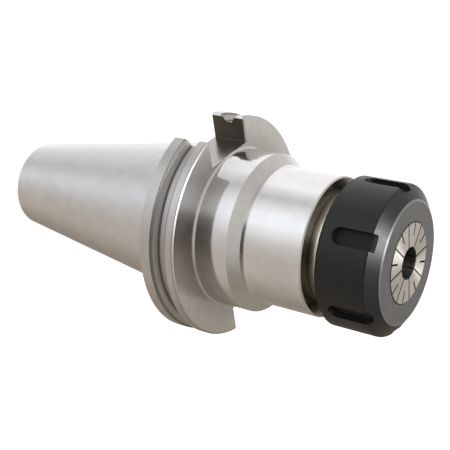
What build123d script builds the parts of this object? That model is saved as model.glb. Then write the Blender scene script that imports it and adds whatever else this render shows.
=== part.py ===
from build123d import *
from math import cos, radians, sin, sqrt, tan
import os

# Collet chuck holder: a steep taper shank with a V flange, a stepped nose that takes an
# 8 degree collet, the castellated nut that closes the collet, and a stop screw behind it.
#
# Frame, in millimetres: +Z is the axis, from the shank towards the nut. z = 0 is the gauge
# plane of the taper. +X runs through the middle of one drive slot. The nut is done up tight.

os.makedirs("parts", exist_ok=True)

# Shank, steep taper size 50
gauge_dia = 69.85
taper_rate = 7 / 24  # change of diameter over length
shank_length = 101.6
shank_end_edge = 1.9
relief_width = 1.8
relief_depth = 0.4

# Flange and its gripper groove
flange_dia = 98.43
flange_gap = 2.0  # gauge plane to the rear face
flange_width = 17.05
flange_rear_edge = 0.3
flange_front_edge = 0.8
groove_setback = 9.1  # rear face to the middle of the groove
groove_floor_width = 3.14
groove_depth = 3.6
groove_angle = 60
groove_lip = 0.35

# Drive slots through the flange
drive_slot_count = 2
drive_slot_width = 25.7
drive_slot_floor = 35.4  # from the axis
drive_slot_mouth = 1.4  # flare of its walls at the flange's rim
drive_slot_edge = 0.6

# Stepped nose
collar_dia = 69.85
collar_length = 16.3
collar_root = 0.8
step_length = 4.8
step_blend = 2.5
nose_dia = 60
nose_length = 27.25
nose_edge = 0.6
neck_dia = 47.9
neck_length = 6.45  # what shows between the shoulder and the nut
thread_dia = 50
thread_root_dia = 48.16
thread_lead = 0.5  # the nut's rear face to the first of the thread
thread_edge = 1.0

# Clamping nut
nut_dia = 63
nut_length = 25.95
nut_rear_edge = 1.4
nut_face_dia = 50.4
nut_cone_length = 4.2
nut_crown_blend = 2.4
nut_face_edge = 0.4
nut_entry = 1.2
runout_width = 2.4
runout_depth = 0.7
spanner_slot_count = 6
spanner_slot_width = 7.0
spanner_slot_depth = 2.6
spanner_slot_setback = 5.3  # rear face to the slot's round end
nut_clocking = 46.7  # angle of the first slot from +X
lip_eccentricity = 1.6

# Collet, 8 degree, size 40
collet_length = 46
collet_face_dia = 33.7
collet_proud = 0.2  # its face past the nut's
collet_head_dia = 41
collet_head_land = 1.0
collet_front_angle = 30
collet_taper_angle = 8
collet_taper_dia = 40  # where the long taper begins
extractor_width = 3.4
extractor_dia = 36
collet_tail_edge = 1.0
collet_rim_edge = 0.25
grip_dia = 12.7
grip_length = 36
grip_relief = 0.6
grip_entry = 0.4
slit_count = 8
front_slit_width = 0.5
rear_slit_width = 0.8
front_web = 5.6  # left at the face by the slits cut from the tail
tail_web = 6.4  # left at the tail by the slits cut from the face
face_notch_depth = 5.6  # how far the tail's slits show on the face, from its rim
slit_clocking = -4.7  # angle of the first slit from +X

# Bores through the body, and the stop screw
collet_standout = 1.7  # start of the collet's taper to the mouth of its socket
socket_run_past = 4.6  # collet's tail to the socket's floor
socket_mouth_edge = 0.5
stop_dia = 22
stop_length = 18
stop_setback = 11  # socket's floor to the screw's end
stop_bore_depth = 46
stop_edge = 1.0
stop_key = 10  # across the flats
coolant_dia = 10
drill_point_angle = 118
knob_thread_dia = 25.4
knob_thread_depth = 44.5
knob_pilot_dia = 26.2
knob_pilot_depth = 5.6
knob_entry = 1.0

# Clearances, radial
thread_clearance = 0.06
taper_clearance = 0.05
cone_clearance = 0.08
lip_clearance = 0.3  # along the axis, before the lip draws the collet out

# Places along the axis
shank_end = -shank_length
flange_rear = flange_gap
flange_front = flange_rear + flange_width
groove_middle = flange_rear + groove_setback
collar_front = flange_front + collar_length
step_front = collar_front + step_length
shoulder = step_front + nose_length
nut_rear = shoulder + neck_length
nut_face = nut_rear + nut_length
collet_face = nut_face + collet_proud
collet_tail = collet_face - collet_length

# The collet's own stations, from its face back
front_slope = tan(radians(collet_front_angle))
taper_slope = tan(radians(collet_taper_angle))
cone_rear = collet_face - (collet_head_dia - collet_face_dia) / 2 / front_slope
head_rear = cone_rear - collet_head_land
taper_front = head_rear - extractor_width
nose_end = taper_front - collet_standout
socket_floor = collet_tail - socket_run_past
stop_bore_end = socket_floor - stop_bore_depth
stop_front = socket_floor - stop_setback
knob_bore_end = shank_end + knob_thread_depth

# Radii that several pieces share
flange_radius = flange_dia / 2
nut_radius = nut_dia / 2
thread_radius = thread_dia / 2
head_radius = collet_head_dia / 2
stop_radius = stop_dia / 2
drill_slope = tan(radians(drill_point_angle / 2))
near = 0.001  # how close a corner lies to where it is looked for


def shank_radius(z):
    """Radius of the shank's taper at height z."""
    return (gauge_dia + taper_rate * z) / 2


def collet_radius(z):
    """Radius of the collet's long taper at height z."""
    return collet_taper_dia / 2 - taper_slope * (taper_front - z)


def corner(profile, radius, z):
    """Vertices of a profile at one radius and height."""
    return profile.vertices().filter_by(
        lambda vertex: abs(vertex.X - radius) < near and abs(vertex.Y - z) < near
    )


def rims(part, radius, z):
    """Circular edges of one radius at one height."""
    circles = part.edges().filter_by(GeomType.CIRCLE)
    return circles.filter_by(
        lambda edge: abs(edge.radius - radius) < near and abs(edge.arc_center.Z - z) < near
    )


# Holder body: one turned and ground piece
with BuildPart() as holder_body:
    relief_start = flange_rear - relief_width
    relief_radius = shank_radius(relief_start) - relief_depth
    thread_core = thread_root_dia / 2
    thread_start = nut_rear + thread_lead
    with BuildSketch(Plane.XZ) as body_profile:
        with BuildLine():
            Polyline(
                (0, shank_end),
                (shank_radius(shank_end), shank_end),
                (shank_radius(relief_start), relief_start),
                (relief_radius, relief_start + relief_depth),
                (relief_radius, flange_rear),
                (flange_radius, flange_rear),
                (flange_radius, flange_front),
                (collar_dia / 2, flange_front),
                (collar_dia / 2, collar_front),
                (nose_dia / 2, step_front),
                (nose_dia / 2, shoulder),
                (neck_dia / 2, shoulder),
                (neck_dia / 2, thread_start),
                (thread_core, thread_start + thread_core - neck_dia / 2),
                (thread_core, nose_end),
                (0, nose_end),
                close=True,
            )
        make_face()
        fillet(corner(body_profile, nose_dia / 2, step_front), step_blend)
        chamfer(corner(body_profile, flange_radius, flange_rear), flange_rear_edge)
        chamfer(corner(body_profile, flange_radius, flange_front), flange_front_edge)
        chamfer(corner(body_profile, collar_dia / 2, flange_front), collar_root)
        chamfer(corner(body_profile, shank_radius(shank_end), shank_end), shank_end_edge)
        chamfer(corner(body_profile, nose_dia / 2, shoulder), nose_edge)
        chamfer(corner(body_profile, thread_core, nose_end), thread_edge)
    revolve(axis=Axis.Z)

    # Drive slots, cut along the axis, with walls that flare at 45 degrees to the rim
    slot_half = drive_slot_width / 2
    slot_reach = flange_radius + 1
    flare_start = sqrt(flange_radius**2 - slot_half**2) - drive_slot_mouth
    flare_half = slot_half + slot_reach - flare_start
    with BuildSketch(Plane.XY.offset(flange_rear)):
        with PolarLocations(0, drive_slot_count):
            Polygon(
                (drive_slot_floor, -slot_half),
                (flare_start, -slot_half),
                (slot_reach, -flare_half),
                (slot_reach, flare_half),
                (flare_start, slot_half),
                (drive_slot_floor, slot_half),
                align=None,
            )
    extrude(amount=flange_width, mode=Mode.SUBTRACT)
    slot_faces = holder_body.faces(Select.LAST).filter_by(GeomType.PLANE)
    slot_sides = slot_faces.filter_by(Axis.Z, reverse=True)
    slot_floors = slot_sides.filter_by(Axis.X)
    chamfer(slot_sides.edges().filter_by(Plane.XY) - slot_floors.edges(), drive_slot_edge)

    # Gripper groove, with its lips broken
    groove_slope = tan(radians(groove_angle / 2))
    groove_half = groove_floor_width / 2
    mouth_half = groove_half + groove_depth * groove_slope
    lip_half = mouth_half - groove_lip * groove_slope
    with BuildSketch(Plane.XZ):
        with BuildLine():
            Polyline(
                (flange_radius - groove_depth, groove_middle - groove_half),
                (flange_radius - groove_lip, groove_middle - lip_half),
                (flange_radius, groove_middle - mouth_half - groove_lip),
                (flange_radius + 1, groove_middle - mouth_half - groove_lip),
                (flange_radius + 1, groove_middle + mouth_half + groove_lip),
                (flange_radius, groove_middle + mouth_half + groove_lip),
                (flange_radius - groove_lip, groove_middle + lip_half),
                (flange_radius - groove_depth, groove_middle + groove_half),
                close=True,
            )
        make_face()
    revolve(axis=Axis.Z, mode=Mode.SUBTRACT)

    # Collet socket, stop screw bore, coolant hole and knob thread, from the nose down
    stop_bore = stop_radius + thread_clearance
    coolant = coolant_dia / 2
    knob_bore = knob_thread_dia / 2
    knob_pilot = knob_pilot_dia / 2
    pilot_end = shank_end + knob_pilot_depth
    socket_mouth = collet_radius(nose_end) + taper_clearance
    socket_end = collet_radius(socket_floor) + taper_clearance
    with BuildSketch(Plane.XZ):
        with BuildLine():
            Polyline(
                (0, nose_end),
                (socket_mouth, nose_end),
                (socket_end, socket_floor),
                (stop_bore + stop_edge, socket_floor),
                (stop_bore, socket_floor - stop_edge),
                (stop_bore, stop_bore_end),
                (coolant, stop_bore_end - (stop_bore - coolant) / drill_slope),
                (coolant, knob_bore_end + (knob_bore - coolant) / drill_slope),
                (knob_bore, knob_bore_end),
                (knob_bore, pilot_end),
                (knob_pilot, pilot_end),
                (knob_pilot, shank_end + knob_entry),
                (knob_pilot + knob_entry, shank_end),
                (0, shank_end),
                close=True,
            )
        make_face()
    revolve(axis=Axis.Z, mode=Mode.SUBTRACT)
    chamfer(rims(holder_body, socket_mouth, nose_end), socket_mouth_edge)

# Clamping nut: its cone closes the collet, and an eccentric lip draws it out again
with BuildPart() as clamping_nut:
    nut_bore = thread_radius + thread_clearance
    cone_mouth = collet_face_dia / 2 + collet_proud * front_slope + cone_clearance
    lip_front = head_rear - lip_clearance
    lip_rear = taper_front + lip_clearance
    lip_radius = head_radius + lip_clearance
    chamber = lip_radius + lip_clearance / 2
    chamber_front = nut_face - (chamber - cone_mouth) / front_slope
    with BuildSketch(Plane.XZ) as nut_profile:
        with BuildLine():
            Polyline(
                (nut_bore + nut_entry, nut_rear),
                (nut_radius, nut_rear),
                (nut_radius, nut_face - nut_cone_length),
                (nut_face_dia / 2, nut_face),
                (cone_mouth, nut_face),
                (chamber, chamber_front),
                (chamber, lip_front),
                (extractor_dia / 2, lip_front),
                (extractor_dia / 2, lip_rear),
                (nut_bore + runout_depth, lip_rear),
                (nut_bore + runout_depth, lip_rear - runout_width + runout_depth),
                (nut_bore, lip_rear - runout_width),
                (nut_bore, nut_rear + nut_entry),
                close=True,
            )
        make_face()
        fillet(corner(nut_profile, nut_radius, nut_face - nut_cone_length), nut_crown_blend)
        chamfer(corner(nut_profile, nut_radius, nut_rear), nut_rear_edge)
        chamfer(corner(nut_profile, nut_face_dia / 2, nut_face), nut_face_edge)
    revolve(axis=Axis.Z)

    # The lip's hole is off centre, so that the collet's head tips in past it
    with BuildSketch(Plane.XY.offset(lip_rear)):
        with Locations((lip_eccentricity, 0)):
            Circle(lip_radius)
    extrude(amount=lip_front - lip_rear, mode=Mode.SUBTRACT)

    # Spanner slots, round at the rear and open at the front
    slot_tip = nut_rear + spanner_slot_setback
    slot_run = nut_face + spanner_slot_width - slot_tip
    slot_angles = [
        radians(nut_clocking + 360 / spanner_slot_count * k) for k in range(spanner_slot_count)
    ]
    slot_planes = [
        Plane((0, 0, slot_tip + slot_run / 2), x_dir=(0, 0, 1), z_dir=(cos(a), sin(a), 0))
        for a in slot_angles
    ]
    with BuildSketch(*[plane.offset(nut_radius - spanner_slot_depth) for plane in slot_planes]):
        SlotOverall(slot_run, spanner_slot_width)
    extrude(amount=spanner_slot_depth + 1, mode=Mode.SUBTRACT)

# Collet: a ring of spring fingers, slit in turn from the face and from the tail
with BuildPart() as collet:
    grip = grip_dia / 2
    grip_end = collet_face - grip_length
    with BuildSketch(Plane.XZ):
        with BuildLine():
            Polyline(
                (grip + grip_entry, collet_face),
                (collet_face_dia / 2, collet_face),
                (head_radius, cone_rear),
                (head_radius, head_rear),
                (extractor_dia / 2, head_rear),
                (extractor_dia / 2, taper_front),
                (collet_taper_dia / 2, taper_front),
                (collet_radius(collet_tail), collet_tail),
                (grip + grip_relief, collet_tail),
                (grip + grip_relief, grip_end),
                (grip, grip_end),
                (grip, collet_face - grip_entry),
                close=True,
            )
        make_face()
    revolve(axis=Axis.Z)
    chamfer(rims(collet, collet_radius(collet_tail), collet_tail), collet_tail_edge)
    chamfer(rims(collet, collet_face_dia / 2, collet_face), collet_rim_edge)

    slit_reach = head_radius + 1
    slit_step = 360 / slit_count
    with BuildSketch(Plane.XY.offset(collet_tail + tail_web)):
        with PolarLocations(slit_reach / 2, slit_count, slit_clocking):
            Rectangle(slit_reach, front_slit_width)
    extrude(amount=collet_length - tail_web, mode=Mode.SUBTRACT)

    with BuildSketch(Plane.XY.offset(collet_tail)):
        with PolarLocations(slit_reach / 2, slit_count, slit_clocking + slit_step / 2):
            Rectangle(slit_reach, rear_slit_width)
    extrude(amount=collet_length - front_web, mode=Mode.SUBTRACT)

    notch_start = collet_face_dia / 2 - face_notch_depth
    notch_reach = slit_reach - notch_start
    with BuildSketch(Plane.XY.offset(collet_face - front_web)):
        with PolarLocations(notch_start + notch_reach / 2, slit_count, slit_clocking + slit_step / 2):
            Rectangle(notch_reach, rear_slit_width)
    extrude(amount=front_web, mode=Mode.SUBTRACT)

# Stop screw: sets how deep a tool goes in, with a hexagon right through for key and coolant
with BuildPart() as stop_screw:
    with BuildSketch(Plane.XY.offset(stop_front - stop_length)):
        Circle(stop_radius)
    extrude(amount=stop_length)
    chamfer(stop_screw.edges(), stop_edge)
    with BuildSketch(Plane.XY.offset(stop_front - stop_length)):
        RegularPolygon(stop_key / 2, 6, major_radius=False)
    extrude(amount=stop_length, mode=Mode.SUBTRACT)

holder_body.part.label = "holder_body"
clamping_nut.part.label = "clamping_nut"
collet.part.label = "collet"
stop_screw.part.label = "stop_screw"
export_step(holder_body.part, "parts/holder_body.step")
export_step(clamping_nut.part, "parts/clamping_nut.step")
export_step(collet.part, "parts/collet.step")
export_step(stop_screw.part, "parts/stop_screw.step")
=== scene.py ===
# %% [markdown]
# # A collet chuck holder
#
# This tool holder carries a round cutter in a milling machine. A steep taper seats in the
# spindle, a grooved flange is there for the tool changer's gripper and the drive keys, and a
# black nut on a stepped nose presses a slit collet onto the cutter's shank. Its solids come
# from the CAD model and are never moved here. This lesson gives them their finishes, cuts
# the threads that the solids leave smooth, and sets up the light and the camera.

# %% Load the fixed frame
import math

import bpy
from mathutils import Matrix, Vector


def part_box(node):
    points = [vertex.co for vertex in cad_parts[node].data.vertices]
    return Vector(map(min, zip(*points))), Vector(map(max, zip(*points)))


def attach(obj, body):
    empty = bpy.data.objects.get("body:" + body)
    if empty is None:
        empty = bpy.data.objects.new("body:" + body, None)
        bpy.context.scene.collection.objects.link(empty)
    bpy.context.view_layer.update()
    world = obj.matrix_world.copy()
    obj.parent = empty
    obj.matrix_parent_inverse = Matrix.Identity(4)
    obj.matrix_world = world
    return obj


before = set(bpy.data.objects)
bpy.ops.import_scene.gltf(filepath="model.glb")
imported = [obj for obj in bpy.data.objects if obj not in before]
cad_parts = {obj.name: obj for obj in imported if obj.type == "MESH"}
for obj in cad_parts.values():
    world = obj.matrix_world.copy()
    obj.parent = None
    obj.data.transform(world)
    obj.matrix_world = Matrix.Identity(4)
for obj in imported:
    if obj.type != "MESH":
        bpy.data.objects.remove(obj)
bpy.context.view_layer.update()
scene = bpy.context.scene
MM = 0.001

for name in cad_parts:
    low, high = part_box(name)
    print(f"{name}: {low.z / MM:.1f} to {high.z / MM:.1f} mm along the axis")

# %% [markdown]
# Every length below comes from the boxes of the solids or from the sizes of such a holder.
# Heights are along the axis, from the gauge plane of the taper, in millimetres.

# %% Read the main places from the solids
body_low, body_high = (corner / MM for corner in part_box("holder_body"))
nut_low, nut_high = (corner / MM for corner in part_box("clamping_nut"))
collet_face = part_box("collet")[1].z / MM
shank_end = body_low.z
flange_rear, flange_front, flange_radius = 2.0, 19.05, body_high.y
collar_front, step_front, shoulder = 35.35, 40.15, 67.4
collar_radius, neck_radius, nose_radius = 34.9, 24.0, 30.0
thread_radius = 25.0
nut_rear, nut_face, nut_radius = nut_low.z, nut_high.z, nut_high.x
print(f"shank end {shank_end:.1f}, nut {nut_rear:.1f} to {nut_face:.1f}, "
      f"flange radius {flange_radius:.2f} mm")

# %% [markdown]
# ## Writing node trees as expressions
#
# A finish is a small sum over a surface: how far along the axis, how far out, how grainy.
# Linking Math nodes by hand hides that sum. So a `Graph` makes any node from its type, its
# settings and its sockets, and hands back a `Value`. Values can be added, scaled and
# compared, and each such step adds the Math node that it needs.


# %% A value that belongs to a graph
class Value:
    """An output socket. Expressions on it add Math nodes to its graph."""

    def __init__(self, graph, socket):
        self.graph = graph
        self.socket = socket

    def __getitem__(self, output):
        return Value(self.graph, self.socket.node.outputs[output])

    def maths(self, operation, *others):
        return self.graph.maths(operation, self, *others)

    def __add__(self, other):
        return self.maths("ADD", other)

    def __sub__(self, other):
        return self.maths("SUBTRACT", other)

    def __rsub__(self, other):
        return self.graph.maths("SUBTRACT", other, self)

    def __mul__(self, other):
        return self.maths("MULTIPLY", other)

    def __truediv__(self, other):
        return self.maths("DIVIDE", other)

    __radd__ = __add__
    __rmul__ = __mul__

    def capped(self):
        """Never more than 1."""
        return self.maths("MINIMUM", 1.0)

    def rise(self, start, end):
        """0 before start, 1 after end, with a smooth step between them."""
        return self.graph.add(
            "ShaderNodeMapRange", {"interpolation_type": "SMOOTHSTEP"},
            {"Value": self, "From Min": start, "From Max": end},
        )

    def band(self, start, end, soft):
        """1 between start and end, fading to 0 over the width soft outside them."""
        return self.rise(start - soft, start) * (1 - self.rise(end, end + soft))


print("a value can:", [name for name in vars(Value) if not name.startswith("__")])


# %% The graph that makes the nodes
class Graph:
    """Makes the nodes of one tree."""

    def __init__(self, tree):
        self.tree = tree
        tree.nodes.clear()

    def add(self, kind, settings=None, sockets=None, output=0):
        """A node of this kind: its settings first, then its sockets' values or links."""
        node = self.tree.nodes.new(kind)
        for name, setting in (settings or {}).items():
            if name == "stops":
                self.set_stops(node.color_ramp, setting)
            else:
                setattr(node, name, setting)
        for name, given in (sockets or {}).items():
            if isinstance(given, Value):
                self.tree.links.new(given.socket, node.inputs[name])
            else:
                node.inputs[name].default_value = given
        return Value(self, node.outputs[output]) if node.outputs else node

    def set_stops(self, ramp, stops):
        """The colours of a ramp, each at its position."""
        while len(ramp.elements) < len(stops):
            ramp.elements.new(1.0)
        for element, (position, colour) in zip(ramp.elements, stops):
            element.position = position
            element.color = (*colour, 1)

    def maths(self, operation, *values):
        return self.add("ShaderNodeMath", {"operation": operation}, dict(enumerate(values)))

    def mix(self, factor, *colours):
        """The first colour into the second."""
        first, second = (
            colour if isinstance(colour, Value) else (*colour, 1) for colour in colours
        )
        return self.add(
            "ShaderNodeMix", {"data_type": "RGBA"}, {0: factor, 6: first, 7: second}, output=2
        )

    def layered(self, colour, *layers):
        """Further colours laid over the first, each as strongly as its mask says."""
        for mask, over in layers:
            colour = self.mix(mask, colour, over)
        return colour


print("a graph can:", [name for name in vars(Graph) if not name.startswith("__")])

# %% [markdown]
# ## Where a point of metal lies
#
# The object was turned on a lathe, so its marks run round the axis. Two numbers place any
# point of such a surface: its distance from the axis and its height. They are worked out
# from Object coordinates, which stay with the metal when a piece turns or slides.
#
# A turned edge is rounded. Its mesh has only a few narrow facets there, and each would mirror
# the room as a flat strip. More facets would cure that, but a solid's mesh isn't changed
# here. So `rounded` works out the normal that the real edge has and shades with that.


# %% The place of a point on turned metal
class TurnedMetal(Graph):
    """The graph of one metal finish, with the point's place in millimetres."""

    def __init__(self, name):
        self.material = bpy.data.materials.new(name)
        self.material.use_nodes = True
        super().__init__(self.material.node_tree)
        where = self.add("ShaderNodeTexCoord", output="Object")
        self.place = self.add(
            "ShaderNodeVectorMath", {"operation": "SCALE"}, {0: where, "Scale": 1 / MM}
        )
        parts = self.add("ShaderNodeSeparateXYZ", {}, {0: self.place})
        self.x, self.y, self.z = parts["X"], parts["Y"], parts["Z"]
        self.radius = (self.x * self.x + self.y * self.y).maths("SQRT")

    def rings(self, per_mm, detail=3.0):
        """Marks of a tool that run right round: they vary along and outwards only."""
        profile = self.add("ShaderNodeCombineXYZ", {}, {"X": self.radius, "Y": self.z})
        return self.add(
            "ShaderNodeTexNoise", {"noise_dimensions": "2D"},
            {"Vector": profile, "Scale": per_mm, "Detail": detail, "Roughness": 0.6},
        )

    def mottle(self, per_mm, detail=4.0):
        """Cloudy variation over the whole piece."""
        return self.add(
            "ShaderNodeTexNoise", {},
            {"Vector": self.place, "Scale": per_mm, "Detail": detail, "Roughness": 0.55},
        )

    def rounded(self, where, lean):
        """Leans the normal from the radius towards the axis by degrees, where asked."""
        angle = lean * (math.pi / 180)
        outwards = angle.maths("COSINE") / self.radius
        normal = self.add("ShaderNodeCombineXYZ", {}, {
            "X": self.x * outwards, "Y": self.y * outwards, "Z": angle.maths("SINE"),
        })
        leaning = self.add("ShaderNodeVectorTransform", {
            "vector_type": "NORMAL", "convert_from": "OBJECT", "convert_to": "WORLD",
        }, {0: normal})
        flat = self.add("ShaderNodeNewGeometry", output="Normal")
        return self.add(
            "ShaderNodeMix", {"data_type": "VECTOR"}, {0: where, 4: flat, 5: leaning}, output=1
        )

    def bump(self, height, depth_mm, below=None):
        """Raises the surface by height times a depth."""
        sockets = {"Strength": 1.0, "Distance": depth_mm * MM, "Height": height}
        if below is not None:
            sockets["Normal"] = below
        return self.add("ShaderNodeBump", {}, sockets)

    def finish(self, colour, roughness, normal, metallic=1.0, constants=None):
        """Ends the graph in one Principled shader."""
        shader = self.add("ShaderNodeBsdfPrincipled", {}, {
            "Base Color": colour, "Roughness": roughness, "Normal": normal,
            "Metallic": metallic, **(constants or {}),
        })
        self.add("ShaderNodeOutputMaterial", {}, {"Surface": shader})
        print(f"{self.material.name}: {len(self.tree.nodes)} nodes")
        return self.material


# %% [markdown]
# ## Ground and turned steel
#
# The holder's body is one piece of hardened steel, but it has several finishes. The taper is
# ground all over, to a fine grey sheen. The flange is turned, and rings show on its faces.
# The collar and nose are polished nearly to a mirror. The shoulder behind the nut has a
# brownish tint, and it is painted darker towards the neck, as shade. A material for each would
# need the mesh cut up, so one material reads the place of a point and turns from finish to
# finish. The first step is only to say where: a mask is 1 on its own part of the body and 0
# elsewhere.

# %% Find the finishes along the body
steel = TurnedMetal("ground_steel_body")
on_taper = 1 - steel.z.rise(flange_rear - 1.5, flange_rear - 0.5)
past_flange = steel.z.rise(flange_front + 0.25, flange_front + 0.75)
on_nose = past_flange * (1 - steel.z.rise(shoulder - 0.7, shoulder - 0.5))
on_step = steel.z.band(collar_front + 0.2, step_front - 0.6, 0.5)
polished = on_nose * (1 - on_step * 0.6)
on_shoulder = steel.z.band(shoulder - 0.05, shoulder + 0.05, 0.05)
on_neck = steel.z.rise(shoulder + 0.1, shoulder + 0.2)
inside_thread = 1 - steel.radius.rise(thread_radius - 0.1, thread_radius + 0.1)
# Painted shade: a dark line in the corner at the neck's root.
neck_root = steel.z.band(shoulder + 0.02, shoulder + 0.12, 0.03) * inside_thread
print(f"the nose is polished from {flange_front} to {shoulder} mm")

# %% [markdown]
# The flange has more places than the rest. Its gripper groove is painted darker, as shade,
# most of all in the rear corner of its floor and where the rear flank ends. Its front rim is
# rounded, and that edge shows as a bright line: its normal leans over from nearly square to
# the axis, at the rim, to half way towards the front face.

# %% Find the groove and the rims
groove_rear, groove_front, groove_floor = 7.2, 15.1, 45.6
groove_corner = 9.5
in_groove = steel.z.band(groove_rear, groove_front, 0.3) * steel.radius.rise(
    groove_floor - 1.6, groove_floor - 0.6
)
# Painted shade in the rear corner of the groove's floor.
in_corner = steel.z.band(groove_corner - 0.3, groove_corner + 0.3, 0.4) * steel.radius.band(
    groove_floor - 0.6, groove_floor + 0.4, 0.4
)

inward = flange_radius - steel.radius  # from the flange's rim towards the axis
behind = flange_front - steel.z  # from the flange's front face towards the shank
flank_end = steel.z.band(groove_rear - 0.3, groove_rear + 1.8, 0.2)
# Painted shade at the top of the groove's rear flank.
flank_top = flank_end * inward.band(0.315, 0.965, 0.2)
on_edge = (1 - behind.rise(0.75, 0.83)) * (1 - inward.rise(0.785, 0.865))
edge_lean = 6 + 50 * inward.rise(0.10, 0.45)
rim_side = on_edge * (1 - inward.rise(0.1, 0.3))
rims = 1 - inward.rise(0.05, 0.1)
# Painted shade on the flange's front face beside the collar.
shade_by_collar = behind.band(-0.05, 0.15, 0.1) * (
    1 - steel.radius.rise(collar_radius + 1.1, flange_radius - 2.2)
)
print(f"groove from {groove_rear} to {groove_front} mm, its floor at radius {groove_floor} mm")

# %% [markdown]
# Two drive slots are milled straight through the flange, so their walls are duller than the
# turned steel, and walls and floors are painted darker, as shade inside the slots. The
# direction of a surface could tell them apart, but the flared mouths turn it. Their place is
# surer: how far a point lies from the plane through the middles of both slots, and how far out.

# %% Find the drive slots
slot_half_width, slot_floor = 12.85, 35.4
sideways, across = steel.y.maths("ABSOLUTE"), steel.x.maths("ABSOLUTE")
on_wall = (
    sideways.band(slot_half_width - 0.05, slot_half_width + 0.05, 0.02)
    * across.rise(slot_floor - 0.1, slot_floor + 0.1)
    * steel.z.band(flange_rear + 0.5, flange_front - 0.55, 0.1)
)
# The slot floors get painted shade.
slot_floor_shade = (
    (1 - sideways.rise(slot_half_width - 0.15, slot_half_width - 0.05))
    * across.band(slot_floor - 0.1, slot_floor + 0.1, 0.05)
    * steel.z.band(flange_rear + 0.3, flange_front - 0.45, 0.2)
)
print(f"slots {2 * slot_half_width} mm wide, their floors {slot_floor} mm from the axis")

# %% [markdown]
# Steel has a colour of its own, a warm grey. The light and dark of a picture of steel is mostly
# the room, and it comes later. Over the clean grey lie the freshly turned neck, the brown
# shoulder with painted shade, the groove in painted shade, the worn rims, painted shade beside
# the collar and in the slots, and darker painted shade in the groove's corner, at the top of
# its rear flank and at the neck's root. Each is a colour and the mask that says where and how
# strongly.

# %% The steel's colours
cloud = steel.mottle(0.16)
clean = steel.mix(cloud.rise(0.3, 0.7), (0.66, 0.65, 0.64), (0.71, 0.70, 0.69))
outwards = steel.radius.rise(neck_radius, nose_radius - 0.5)
# Painted shade: the shoulder's brownish tint darkens towards the neck.
shoulder_tint_and_shade = steel.mix(outwards, (0.13, 0.112, 0.095), (0.33, 0.295, 0.25))
# Painted shade beside the collar and on the slot floors; the rims and the front edge are worn.
rim_wear_and_shade = rims * 0.42 + shade_by_collar * 0.49 + slot_floor_shade * 0.85
wear_and_shade = rim_wear_and_shade.maths("MAXIMUM", on_edge * 0.35 + rim_side * 0.35)
# Painted shade in the groove's corner, at the top of its rear flank and at the neck's root.
corner_shade = in_corner * 0.55 + flank_top * 0.5 + neck_root * 0.9
# The darker tones of the groove and of the slot walls are painted shade.
steel_tone = steel.layered(
    clean,
    (on_neck, (0.82, 0.77, 0.70)),
    (on_shoulder, shoulder_tint_and_shade),
    (in_groove * 0.45, (0.30, 0.28, 0.26)),
    (wear_and_shade, (0.36, 0.35, 0.34)),
    (corner_shade, (0.07, 0.06, 0.05)),
    (on_wall, (0.13, 0.11, 0.09)),
)
print("steel colours in", len(steel.tree.nodes), "nodes")

# %% [markdown]
# Roughness says how sharply a surface mirrors, and it tells grinding from polishing better
# than colour does. The same noise that roughens the rings also raises them by a few
# thousandths of a millimetre, so colour, gloss and relief agree.

# %% The steel's gloss and relief
fine_rings = steel.rings(6.0)
broad_rings = steel.rings(0.9, detail=2.0)
steel_roughness = (
    0.24 + on_taper * 0.05 - polished * 0.13
    + (cloud - 0.5) * 0.06 + (fine_rings - 0.5) * 0.05
    + (on_wall + in_corner).capped() * 0.25
    + in_groove * 0.12 + flank_top * 0.15 + on_edge * 0.14
)
ring_height = fine_rings * (1 - polished * 0.8) + broad_rings * 0.5
steel_normal = steel.bump(ring_height, 0.004, below=steel.rounded(on_edge, edge_lean))
body_steel = steel.finish(steel_tone, steel_roughness, steel_normal)

# %% [markdown]
# ## Black oxide on the nut
#
# The nut is blackened in a hot salt bath, which leaves a thin, dark, slightly glossy layer.
# Bare metal would mirror the room too strongly. A dark, non-metallic base with a normal gloss
# is nearer: it is nearly black when it is looked at squarely, and greyer at a slant. Handling
# has rubbed the flat face paler, and its sharp outer edge is worn to a thin bright line.

# %% Find the parts of the nut
oxide = TurnedMetal("black_oxide_nut")
face_radius, cone_length = 25.2, 4.2
cone_rear = nut_face - cone_length
cone_lean = math.degrees(math.atan2(nut_radius - face_radius, cone_length))
in_front = oxide.z.rise(cone_rear - 0.4, cone_rear + 0.3)
on_face = oxide.z.rise(nut_face - 0.15, nut_face - 0.05)
on_crown = oxide.z.band(cone_rear - 1.3, cone_rear + 0.65, 0.05) * oxide.radius.rise(
    nut_radius - 1.2, nut_radius - 1.1
)
on_face_edge = oxide.z.rise(nut_face - 0.46, nut_face - 0.38) * oxide.radius.band(
    face_radius - 0.3, face_radius + 0.8, 0.1
)
on_back = 1 - oxide.z.rise(nut_rear + 1.2, nut_rear + 1.5)
in_slot = (1 - in_front) * (1 - oxide.radius.rise(nut_radius - 1.2, nut_radius - 0.6))
print(f"the nut's front cone leans by {cone_lean:.1f} degrees")

# %% [markdown]
# The crown, where the nut's side turns into its front cone, is rounded like the flange's rim,
# so its normal is worked out too: square to the axis on the side, and the cone's in front.

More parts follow.
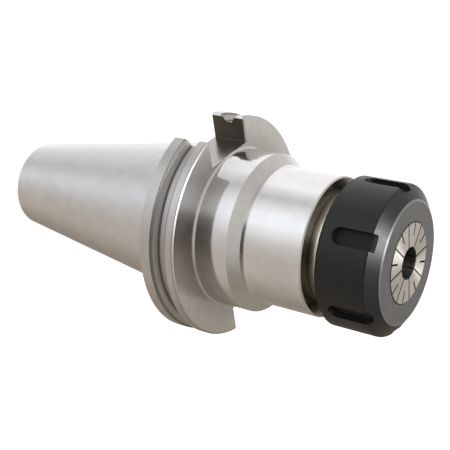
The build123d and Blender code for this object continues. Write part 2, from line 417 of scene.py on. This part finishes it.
# %% The nut's finish
nut_rings = oxide.rings(4.0)
bath = oxide.mottle(0.3)
black = oxide.mix(bath.rise(0.35, 0.7), (0.005, 0.005, 0.0055), (0.009, 0.009, 0.009))
rubbed = oxide.mix(bath.rise(0.3, 0.7), (0.066, 0.065, 0.064), (0.080, 0.079, 0.078))
oxide_tone = oxide.layered(black, (on_face, rubbed), (on_face_edge, (0.16, 0.16, 0.17)))
oxide_roughness = (
    0.42 + in_slot * 0.25 + on_back * 0.3 - in_front * 0.06
    + (bath - 0.5) * 0.10 + (nut_rings - 0.5) * 0.10
)
eased = (on_crown + on_face_edge).capped()
oxide_normal = oxide.bump(nut_rings, 0.004, below=oxide.rounded(eased, in_front * cone_lean))
nut_oxide = oxide.finish(
    oxide_tone, oxide_roughness, oxide_normal, on_face_edge * 0.25, {"IOR": 1.45}
)

# %% [markdown]
# ## The collet's fingers
#
# Slits divide the collet into springy fingers: eight run in from the face, and eight come
# from its tail and show on the face as short marks. The slits are in the solid. Their walls
# are sawn. They are painted darker than the ground face, as shade in the slits, and so are a
# narrow band beside each face slit, the edges of the ring and the bore, as shade in the gaps
# and the hole. A mask for them takes the sideways distance of a point from the nearest slit,
# which follows from its bearing.

# %% Find the slits
spring = TurnedMetal("ground_steel_collet")
first_slit, slit_step = -4.7, 45.0
face_slit_half, tail_slit_half = 0.25, 0.40
grip_radius, rim_radius = 6.35, 16.85
turn = spring.maths("ARCTAN2", spring.y, spring.x) * (180 / math.pi)
past_first = turn - first_slit + 360


def aside(shift):
    """How far a point lies sideways from the nearest slit of one kind, in millimetres."""
    steps = past_first / slit_step + shift
    angle = (steps.maths("FRACT") - 0.5) * math.radians(slit_step)
    return (angle.maths("SINE") * spring.radius).maths("ABSOLUTE")


aside_face_slit, aside_tail_slit = aside(0.5), aside(0.0)
in_face_slit = 1 - aside_face_slit.rise(face_slit_half + 0.01, face_slit_half + 0.03)
in_tail_slit = 1 - aside_tail_slit.rise(tail_slit_half + 0.01, tail_slit_half + 0.03)
in_slit = (in_face_slit + in_tail_slit).capped()
below_face = 1 - spring.z.rise(collet_face - 0.12, collet_face - 0.04)
# Painted shade: a dark band on the face beside each slit.
slit_edge_shade = (1 - aside_face_slit.rise(face_slit_half + 0.11, face_slit_half + 0.19)) * 0.8
# Painted shade down the bore.
in_bore = 1 - spring.radius.rise(grip_radius + 0.03, grip_radius + 0.05)
outer_edge = spring.radius.rise(rim_radius - 0.35, rim_radius - 0.25)
inner_edge = 1 - spring.radius.rise(grip_radius + 0.4, grip_radius + 0.5)
# Painted shade in the slits, at the ring's outer and inner edges and beside the face slits.
slit_and_edge_shade = (in_slit * below_face + outer_edge + inner_edge + slit_edge_shade).capped()
print(f"{360 / slit_step:.0f} slits from each end, {slit_step} degrees apart")

# %% [markdown]
# Each finger lies at a slightly different angle when it is clamped, so each mirrors another
# part of the room. The tilt is only a degree or so, too little to cut and turn a solid for.
# It is made with a bump whose height is a slope that changes from finger to finger.

# %% Tilt the fingers
finger = (past_first / (slit_step / 2)).maths("FLOOR")
chance = spring.add(
    "ShaderNodeTexWhiteNoise", {"noise_dimensions": "1D"}, {"W": finger}, output="Color"
)
parts = spring.add("ShaderNodeSeparateColor", {}, {0: chance})
steepest = 0.07
slope = spring.x * (parts["Red"] - 0.5) + spring.y * (parts["Green"] - 0.5)
tilted = spring.bump(slope * steepest, 1.0)
most_tilt = math.degrees(math.atan(steepest / 2))
print(f"a finger is tilted by up to {most_tilt:.1f} degrees along x and along y")

# %% [markdown]
# The face was ground in rings. A surface with such a grain mirrors a lamp as a bow tie: two
# bright fans and two dark ones. The shader's anisotropy does that, with its grain turned by a
# quarter to run round the axis. A painted highlight helps it: a paler copy of the colour lies
# on the two fans along the camera's bearing, fixed on the metal.

# %% The collet's finish
bow_bearing = 54.9
grain = spring.mottle(0.9)
speckle = spring.mottle(2.0, detail=2.0).rise(0.38, 0.62)
# Painted highlight: two fans along the camera's bearing, fixed on the metal.
bow = ((turn - bow_bearing) * (math.pi / 90)).maths("COSINE").rise(0.45, 1.0)
dim = spring.mix(grain.rise(0.3, 0.7), (0.54, 0.51, 0.48), (0.72, 0.70, 0.68))
bright = spring.mix(speckle, (0.82, 0.79, 0.76), (1.0, 0.99, 0.97))
# The paler colour lies on the painted highlight's fans and, more weakly, on random fingers.
spring_tone = spring.layered(
    dim,
    (bow * 0.8 + parts["Blue"] * 0.2, bright),
    (slit_and_edge_shade, (0.06, 0.055, 0.05)),
    (in_bore, (0.10, 0.105, 0.095)),
)
spring_roughness = 0.32 + (grain - 0.5) * 0.16 + slit_and_edge_shade * 0.3
spring_normal = spring.bump(spring.rings(5.0), 0.012, below=tilted)
collet_steel = spring.finish(
    spring_tone, spring_roughness, spring_normal,
    constants={"Anisotropic": 0.8, "Anisotropic Rotation": 0.25},
)

# %% [markdown]
# ## The stop screw
#
# It sits deep in the body and is seen only down the bore. It is blackened too, but plainly
# cut, so it is duller than the nut. One flat colour would nearly do for it. It gets rings of
# its own all the same, so that it looks turned when someone takes it out.

# %% The stop screw's finish
plain = TurnedMetal("black_oxide_screw")
screw_rings = plain.rings(3.0)
screw_tone = plain.mix(screw_rings, (0.018, 0.018, 0.019), (0.035, 0.034, 0.034))
screw_roughness = 0.42 + (screw_rings - 0.5) * 0.1
screw_oxide = plain.finish(
    screw_tone, screw_roughness, plain.bump(screw_rings, 0.01), metallic=0.0
)

# %% [markdown]
# The solids keep their meshes. Each only gets its new finish in the slots that it has.

# %% Put the finishes on the solids
finishes = {
    "holder_body": body_steel,
    "clamping_nut": nut_oxide,
    "collet": collet_steel,
    "stop_screw": screw_oxide,
}
for name, material in finishes.items():
    for material_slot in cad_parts[name].material_slots:
        material_slot.material = material
    print(name, "wears", material.name)

# %% [markdown]
# ## Screw threads
#
# A thread is one ridge that winds round a cylinder at a steady pitch. A Screw modifier could
# turn a profile up the axis, but its ends would stop dead. A cut thread runs out: the ridge
# shrinks to nothing over a part of a turn. That is a rule, so Geometry Nodes makes it. A
# spiral curve carries the ridge's cross-section along and scales it. The nut's thread, the
# nose's and the one in the shank's end come from the same tree with other sizes. The solids
# leave room for them.


# %% The helix
def wind_helix(graph, given):
    """A right-handed spiral on the root cylinder. Unreversed, it would wind to the left."""
    root, turns = given["Root Radius"], given["Turns"]
    helix = graph.add("GeometryNodeCurveSpiral", {}, {
        "Resolution": given["Steps"], "Rotations": turns, "Start Radius": root,
        "End Radius": root, "Height": given["Pitch"] * turns, "Reverse": True,
    })
    return graph.add("GeometryNodeSetCurveNormal", {"mode": "Z_UP"}, {"Curve": helix})


# %% [markdown]
# The cross-section is a trapezium. It is drawn round the curve's own line, so it is first
# raised until its base lies on that line, and then laid on its side, with its crest outwards
# for the nose and inwards for the nut. Its flanks meet in edges that stay sharp, while the
# edges along the ridge's turns are smooth: the angle between two faces tells them apart.


# %% The ridge along the helix
def carry_section(graph, given, helix):
    """The ridge, scaled down to a thin end over a third of a turn at each end."""
    section = graph.add("GeometryNodeCurvePrimitiveQuadrilateral", {"mode": "TRAPEZOID"}, {
        "Bottom Width": given["Root Width"], "Top Width": given["Crest Width"],
        "Height": given["Height"], "Offset": 0.0,
    })
    raised = graph.add("ShaderNodeCombineXYZ", {}, {"Y": given["Height"] * 0.5})
    based = graph.add("GeometryNodeTransform", {}, {"Geometry": section, "Translation": raised})
    side = graph.add("ShaderNodeCombineXYZ", {}, {"Z": given["Outwards"] * (-math.pi / 2)})
    aimed = graph.add("GeometryNodeTransform", {}, {"Geometry": based, "Rotation": side})

    turns = given["Turns"]
    along = graph.add("GeometryNodeSplineParameter")["Factor"] * turns
    fade = (along * 3).maths("MINIMUM", (turns - along) * 3)
    thin_end = 0.03
    ridge = graph.add("GeometryNodeCurveToMesh", {}, {
        "Curve": helix, "Profile Curve": aimed,
        "Scale": fade.capped().maths("MAXIMUM", thin_end), "Fill Caps": True,
    })
    angle = graph.add("GeometryNodeInputMeshEdgeAngle")
    soft = graph.add("FunctionNodeCompare", {"operation": "LESS_THAN"}, {0: angle, 1: 0.4})
    return graph.add("GeometryNodeSetShadeSmooth", {"domain": "EDGE"}, {
        "Geometry": ridge, "Selection": soft, "Shade Smooth": True,
    })


# %% The tree that winds a thread
def thread_tree():
    """A ridge on a helix: its sizes are the tree's inputs, in metres."""
    tree = bpy.data.node_groups.new("wind_thread", "GeometryNodeTree")
    tree.interface.new_socket("Geometry", in_out="OUTPUT", socket_type="NodeSocketGeometry")
    lengths = ["Root Radius", "Height", "Root Width", "Crest Width", "Pitch", "Start"]
    for name in [*lengths, "Turns", "Outwards"]:
        tree.interface.new_socket(name, in_out="INPUT", socket_type="NodeSocketFloat")
    tree.interface.new_socket("Steps", in_out="INPUT", socket_type="NodeSocketInt")
    tree.interface.new_socket("Material", in_out="INPUT", socket_type="NodeSocketMaterial")

    graph = Graph(tree)
    given = graph.add("NodeGroupInput")
    ridge = carry_section(graph, given, wind_helix(graph, given))
    place = graph.add("ShaderNodeCombineXYZ", {}, {"Z": given["Start"]})
    set_down = graph.add("GeometryNodeTransform", {}, {"Geometry": ridge, "Translation": place})
    real = graph.add("GeometryNodeRealizeInstances", {}, {"Geometry": set_down})
    finished = graph.add("GeometryNodeSetMaterial", {}, {
        "Geometry": real, "Material": given["Material"],
    })
    graph.add("NodeGroupOutput", {}, {"Geometry": finished})
    return tree


wind_thread = thread_tree()
print("thread tree:", len(wind_thread.nodes), "nodes")

# %% [markdown]
# The tree works on a carrier object that has no mesh of its own. Its result is copied into a
# plain mesh, which is the piece, and the carrier goes. The piece rides on the body that the
# thread is cut in, so the nut's thread turns with the nut.


# %% Turn one use of the tree into a plain piece
def wind(name, body, slot, **sizes):
    """A thread as a mesh piece that rides on a body."""
    carrier = bpy.data.objects.new(name + "_carrier", bpy.data.meshes.new(name))
    scene.collection.objects.link(carrier)
    modifier = carrier.modifiers.new("thread", "NODES")
    modifier.node_group = wind_thread
    for item in wind_thread.interface.items_tree:
        if item.in_out == "INPUT":
            modifier[item.identifier] = sizes[item.name.lower().replace(" ", "_")]
    evaluated = carrier.evaluated_get(bpy.context.evaluated_depsgraph_get())
    mesh = bpy.data.meshes.new_from_object(evaluated)
    bpy.data.objects.remove(carrier)
    mesh.name = name
    piece = bpy.data.objects.new(name, mesh)
    scene.collection.objects.link(piece)
    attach(piece, body)
    heights = [vertex.co.z / MM for vertex in mesh.vertices]
    reach = [math.hypot(vertex.co.x, vertex.co.y) / MM for vertex in mesh.vertices]
    print(f"{name}: {len(mesh.polygons)} faces, z {min(heights):.2f} to {max(heights):.2f}, "
          f"radius {min(reach):.2f} to {max(reach):.2f} mm")
    return piece


# %% [markdown]
# The nut's thread and the nose's are both 50 mm across with a pitch of 1.5 mm. They must pass
# through each other as the nut turns, so the nut's ridge lies half a pitch away from the
# nose's, and both are a little thinner than the full form. Both wind to the right. A ridge is
# sunk slightly in its cylinder, so no light gets under it.

# %% Wind the threads of the nose and the nut
pitch = 1.5
sunk = 0.02
flank = math.tan(math.radians(30))
nose_root, nose_crest = 24.08, 24.96
nut_bore, nut_crest = 25.06, 24.24
thread_start = 75.2


def section(root, crest, crest_width):
    """Height and widths of a 60 degree ridge between two radii, in metres."""
    height = abs(crest - root) + sunk
    outwards = math.copysign(1.0, crest - root)
    return {
        "root_radius": (root - outwards * sunk) * MM,
        "height": height * MM,
        "root_width": (crest_width + 2 * flank * height) * MM,
        "crest_width": crest_width * MM,
        "outwards": outwards,
    }


wind(
    "nose_thread", "holder", "ground_steel", material=body_steel,
    **section(nose_root, nose_crest, pitch / 8),
    pitch=pitch * MM, start=thread_start * MM, turns=7.5, steps=120,
)
wind(
    "nut_thread", "nut", "black_oxide", material=nut_oxide,
    **section(nut_bore, nut_crest, pitch / 5),
    pitch=pitch * MM, start=(thread_start + pitch / 2) * MM, turns=7.2, steps=120,
)

# %% [markdown]
# A retention knob screws into the shank's small end, on a coarser thread: 25.4 mm across, at 8
# turns to the inch. It shows only from behind, as a ridge down the bore.

# %% Wind the thread in the shank
knob_pitch = 25.4 / 8
knob_bore, knob_crest = 12.7, 11.05
knob_start = shank_end + 7.6
wind(
    "knob_thread", "holder", "ground_steel", material=body_steel,
    **section(knob_bore, knob_crest, knob_pitch / 4),
    pitch=knob_pitch * MM, start=knob_start * MM, turns=11.0, steps=72,
)

# %% [markdown]
# ## The camera
#
# The picture shows the holder lying on its side, seen from the nut's end. Here its axis
# stands upright, so the camera looks down at it from 33 degrees and is rolled over by a
# little more than a right angle. Placed by eye, an error in one of its numbers would hide
# behind another. So bearing, height, roll and distance were found by fitting the circles of
# the object, whose real sizes are known, to their ellipses in the picture.

# %% Aim the camera
camera_bearing, camera_height, camera_roll = map(math.radians, (54.9, 32.717, 102.444))
camera_distance = 424.25
aim_across, aim_up = 0.894, 11.154

back = Vector((
    math.cos(camera_height) * math.cos(camera_bearing),
    math.cos(camera_height) * math.sin(camera_bearing),
    math.sin(camera_height),
))
level = Vector((0, 0, 1)).cross(back).normalized()
upright = back.cross(level)
picture_right = math.cos(camera_roll) * level + math.sin(camera_roll) * upright
picture_up = math.cos(camera_roll) * upright - math.sin(camera_roll) * level
target = aim_across * level + Vector((0, 0, aim_up))

lens = bpy.data.cameras.new("camera")
lens.lens = 75.699
lens.sensor_width = 36
camera = bpy.data.objects.new("camera", lens)
scene.collection.objects.link(camera)
facing = Matrix((picture_right, picture_up, back)).transposed().to_4x4()
camera.matrix_world = Matrix.Translation((target + back * camera_distance) * MM) @ facing
scene.camera = camera
print("camera at", [round(value, 4) for value in camera.location])

# %% [markdown]
# ## Studio light
#
# Polished steel shows the room and hardly any colour of its own, so the room is the finish.
# Lamps and cards could be set up one by one, but each would also show on every other face.
# A world that is a plain studio, painted by bearing, is easier to steer. Beside the object
# stand white soft boxes with a narrow gap between them, and a warm, darker side. They change
# with the bearing, so a turned surface mirrors them as long streaks. A bearing is counted in
# degrees from the camera's, and each stop gives the light that comes from there.

# %% The light beside the object
beside = [
    (-180, (0.85, 0.85, 0.85)),
    (-170, (1.20, 1.20, 1.20)),
    (-85, (1.30, 1.30, 1.30)),
    (-72, (1.00, 1.00, 1.00)),
    (-58, (0.76, 0.75, 0.75)),
    (-42, (1.10, 1.10, 1.11)),
    (-28, (1.33, 1.36, 1.43)),
    (-12, (1.36, 1.39, 1.48)),
    (2, (1.12, 1.12, 1.13)),
    (16, (0.82, 0.81, 0.79)),
    (30, (0.68, 0.65, 0.61)),
    (44, (0.65, 0.59, 0.53)),
    (72, (0.63, 0.57, 0.51)),
    (100, (0.50, 0.43, 0.37)),
    (128, (0.36, 0.31, 0.26)),
    (172, (0.34, 0.30, 0.26)),
    (180, (0.70, 0.70, 0.70)),
]
brightest = 1.5
print("beside:", len(beside), "stops, up to", max(max(colour) for _, colour in beside))

# %% [markdown]
# The flat faces of the flange, the shoulder and the nut look along the axis, so they mirror
# what is above. There it is bright behind the object and dark towards the camera. These
# bearings are counted from the point opposite the camera.

# %% The light above the object
above = [
    (-180, (0.22, 0.21, 0.20)),
    (-165, (0.12, 0.10, 0.08)),
    (-140, (0.11, 0.09, 0.07)),
    (-122, (0.24, 0.21, 0.17)),
    (-90, (0.34, 0.30, 0.25)),
    (-50, (0.38, 0.34, 0.28)),
    (-9, (0.34, 0.30, 0.25)),
    (1, (0.64, 0.60, 0.55)),
    (10, (0.74, 0.70, 0.66)),
    (40, (0.80, 0.78, 0.75)),
    (95, (0.62, 0.60, 0.57)),
    (130, (0.50, 0.49, 0.48)),
    (152, (0.78, 0.78, 0.78)),
    (168, (0.80, 0.80, 0.80)),
    (180, (0.22, 0.21, 0.20)),
]
zenith = (0.43, 0.42, 0.40)
print("above:", len(above), "stops, up to", max(max(colour) for _, colour in above))

# %% [markdown]
# The world's shader is asked for the light from one direction at a time. The direction is a
# vector, and its bearing is the angle that it makes when it is laid flat.

# %% Bearings in the world
world = bpy.data.worlds.new("studio")
scene.world = world
world.use_nodes = True
studio = Graph(world.node_tree)
direction = studio.add("ShaderNodeTexCoord", output="Generated")


def bearing_from(start):
    """Bearing of the direction, in degrees from a given one, and its height."""
    rotated = studio.add("ShaderNodeVectorRotate", {"rotation_type": "Z_AXIS"}, {
        "Vector": direction, "Angle": -start,
    })
    parts = studio.add("ShaderNodeSeparateXYZ", {}, {0: rotated})
    return studio.maths("ARCTAN2", parts["Y"], parts["X"]) * (180 / math.pi), parts["Z"]


front_bearing, height = bearing_from(camera_bearing)
rear_bearing, _ = bearing_from(camera_bearing + math.pi)
print("bearings are counted from", round(math.degrees(camera_bearing), 1), "degrees")

# %% [markdown]
# A ramp holds colours up to 1, so the stops are divided by the brightest level, and the
# background's strength multiplies them again. Walls and ceiling pass into each other, the
# zenith has one tone, and a grey patch low down on one side keeps the small end of the shank
# from being lit as brightly as the rest. The camera itself sees plain white.


# %% The studio round the object
def all_round(bearing, stops):
    """A colour for each bearing, dimmed to fit a ramp."""
    return studio.add("ShaderNodeValToRGB", {"stops": [
        ((angle + 180) / 360, [level / brightest for level in colour])
        for angle, colour in stops
    ]}, {"Fac": (bearing + 180) / 360})


foot_shade = front_bearing.band(-95, 5, 45) * (1 - height.rise(-0.60, -0.50))
walls = studio.mix(foot_shade * 0.55, all_round(front_bearing, beside), (0.40, 0.40, 0.41))
ceiling = studio.mix(height.rise(0.6, 0.85), all_round(rear_bearing, above), zenith)
room = studio.mix(height.rise(-0.30, 0.15), walls, ceiling)
seen = studio.add("ShaderNodeLightPath")["Is Camera Ray"]
lit = studio.add("ShaderNodeBackground", {}, {"Color": room, "Strength": brightest})
white = studio.add("ShaderNodeBackground", {}, {"Color": (1, 1, 1, 1), "Strength": 1.0})
light = studio.add("ShaderNodeMixShader", {}, {0: seen, 1: lit, 2: white})
studio.add("ShaderNodeOutputWorld", {}, {"Surface": light})
print("studio:", len(world.node_tree.nodes), "nodes")

# %% [markdown]
# ## The floor
#
# A wide sheet lies under the small end of the shank. Steel doesn't mirror it: its place there
# is taken by the studio below, which is what gives the taper its tones.

# %% The floor's sheet
floor_half = 6.0
floor_height = shank_end * MM
floor_mesh = bpy.data.meshes.new("floor")
floor_mesh.from_pydata(
    [(x * floor_half, y * floor_half, floor_height)
     for x, y in ((-1, -1), (1, -1), (1, 1), (-1, 1))],
    [], [(0, 1, 2, 3)],
)
floor = bpy.data.objects.new("floor", floor_mesh)
scene.collection.objects.link(floor)
floor.visible_glossy = False
print("floor at", round(floor_height, 4))

# %% [markdown]
# The sheet is white paper. Plain white paint would show the room's uneven light as grey
# clouds. So what the camera sees is mostly a white of its own, with a smaller part that light
# has to reach, and the object still throws a faint shadow.

# %% The floor's paper
paper_material = bpy.data.materials.new("floor_paper")
paper_material.use_nodes = True
paper = Graph(paper_material.node_tree)
lit_part = paper.add("ShaderNodeBsdfDiffuse", {}, {"Color": (0.55, 0.55, 0.55, 1)})
own_white = paper.add("ShaderNodeEmission", {}, {"Color": (1, 1, 1, 1), "Strength": 0.8})
shown = paper.add("ShaderNodeAddShader", {}, {0: lit_part, 1: own_white})
bounced = paper.add("ShaderNodeBsdfDiffuse", {}, {"Color": (0.8, 0.8, 0.8, 1)})
seen = paper.add("ShaderNodeLightPath")["Is Camera Ray"]
surface = paper.add("ShaderNodeMixShader", {}, {0: seen, 1: bounced, 2: shown})
paper.add("ShaderNodeOutputMaterial", {}, {"Surface": surface})
floor_mesh.materials.append(paper_material)
print("paper:", len(paper.tree.nodes), "nodes")

# %% [markdown]
# One soft lamp hangs nearly over the nut. A point lamp would leave hard shadows, and a sheet
# of light would give the rounded edges no line. An oval of this size does neither.

# %% The lamp
lamp_towards = Vector((0.187, -0.054, 0.98)).normalized()
lamp_long_side = Vector((0.57, -0.82, 0))
lamp_distance = 0.9
lamp_data = bpy.data.lights.new("soft_lamp", "AREA")
lamp_data.shape = "ELLIPSE"
lamp_data.size = 0.32
lamp_data.size_y = 0.20
lamp_data.energy = 5.2
lamp = bpy.data.objects.new("soft_lamp", lamp_data)
scene.collection.objects.link(lamp)
lamp_across = lamp_towards.cross(lamp_long_side).normalized()
lamp_along = lamp_across.cross(lamp_towards)
hung = Matrix((lamp_along, lamp_across, lamp_towards)).transposed().to_4x4()
lamp.matrix_world = Matrix.Translation(lamp_towards * lamp_distance) @ hung
print("lamp at", [round(value, 3) for value in lamp.location])

# %% [markdown]
# ## Last steps
#
# The picture's colours are shown as they are written, with the Standard view transform.

# %% Set the view transform
scene.view_settings.view_transform = "Standard"
